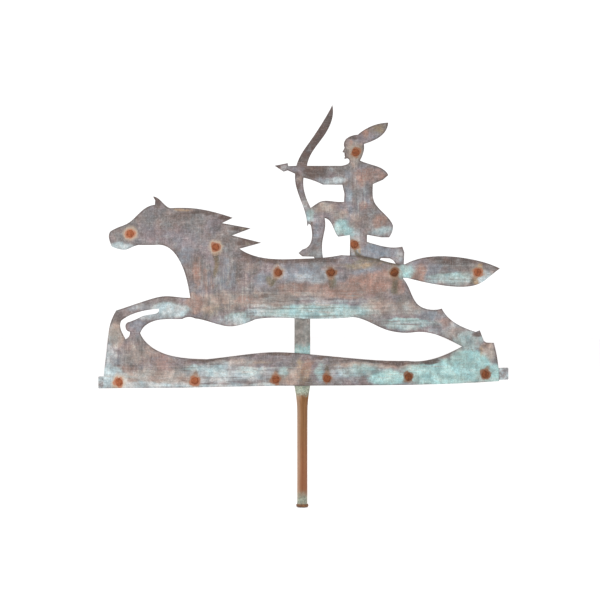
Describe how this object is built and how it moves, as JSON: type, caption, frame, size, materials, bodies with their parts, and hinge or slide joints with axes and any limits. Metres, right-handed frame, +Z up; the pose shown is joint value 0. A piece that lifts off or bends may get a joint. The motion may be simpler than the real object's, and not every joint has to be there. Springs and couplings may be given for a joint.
{
  "type": "weather vane",
  "caption": "Sheet-copper silhouette weather vane, a leaping horse with a kneeling archer on its back, on a pipe that turns freely on a fixed spindle.",
  "frame": {"origin": "centre of the spindle's foot, on the turning axis, in the plane that the vane is fastened to", "axes": "+Z up the spindle, -X the way the horse leaps, -Y the side with the round rivet heads"},
  "size_m": [0.615, 0.0186, 0.603],
  "materials": {
    "sheet_copper": "weathered sheet copper, brown with verdigris",
    "strap_copper": "weathered copper strap, grey-green",
    "pipe_copper": "oxidised copper pipe, brown",
    "rivet_iron": "rusted iron",
    "bush_bronze": "dark bronze, greased",
    "spindle_steel": "turned steel"
  },
  "bodies": {
    "spindle": {"spindle_rod": "spindle_steel", "thrust_ball": "spindle_steel"},
    "vane": {"support_pipe": "pipe_copper", "lower_bush": "bush_bronze", "top_bush": "bush_bronze", "horse_sheet": "sheet_copper", "archer_sheet": "sheet_copper", "base_strap": "strap_copper", "body_strap": "strap_copper", "neck_strap": "strap_copper", "head_strap": "strap_copper", "archer_strap": "strap_copper", "base_rivets": "rivet_iron", "head_rivets": "rivet_iron", "body_rivets": "rivet_iron", "archer_rivets": "rivet_iron"}
  },
  "joints": [
    {"name": "vane_spin", "type": "hinge", "parent": "spindle", "child": "vane", "pos_m": [0, 0, 0], "axis": [0, 0, 1], "continuous": true}
  ]
}
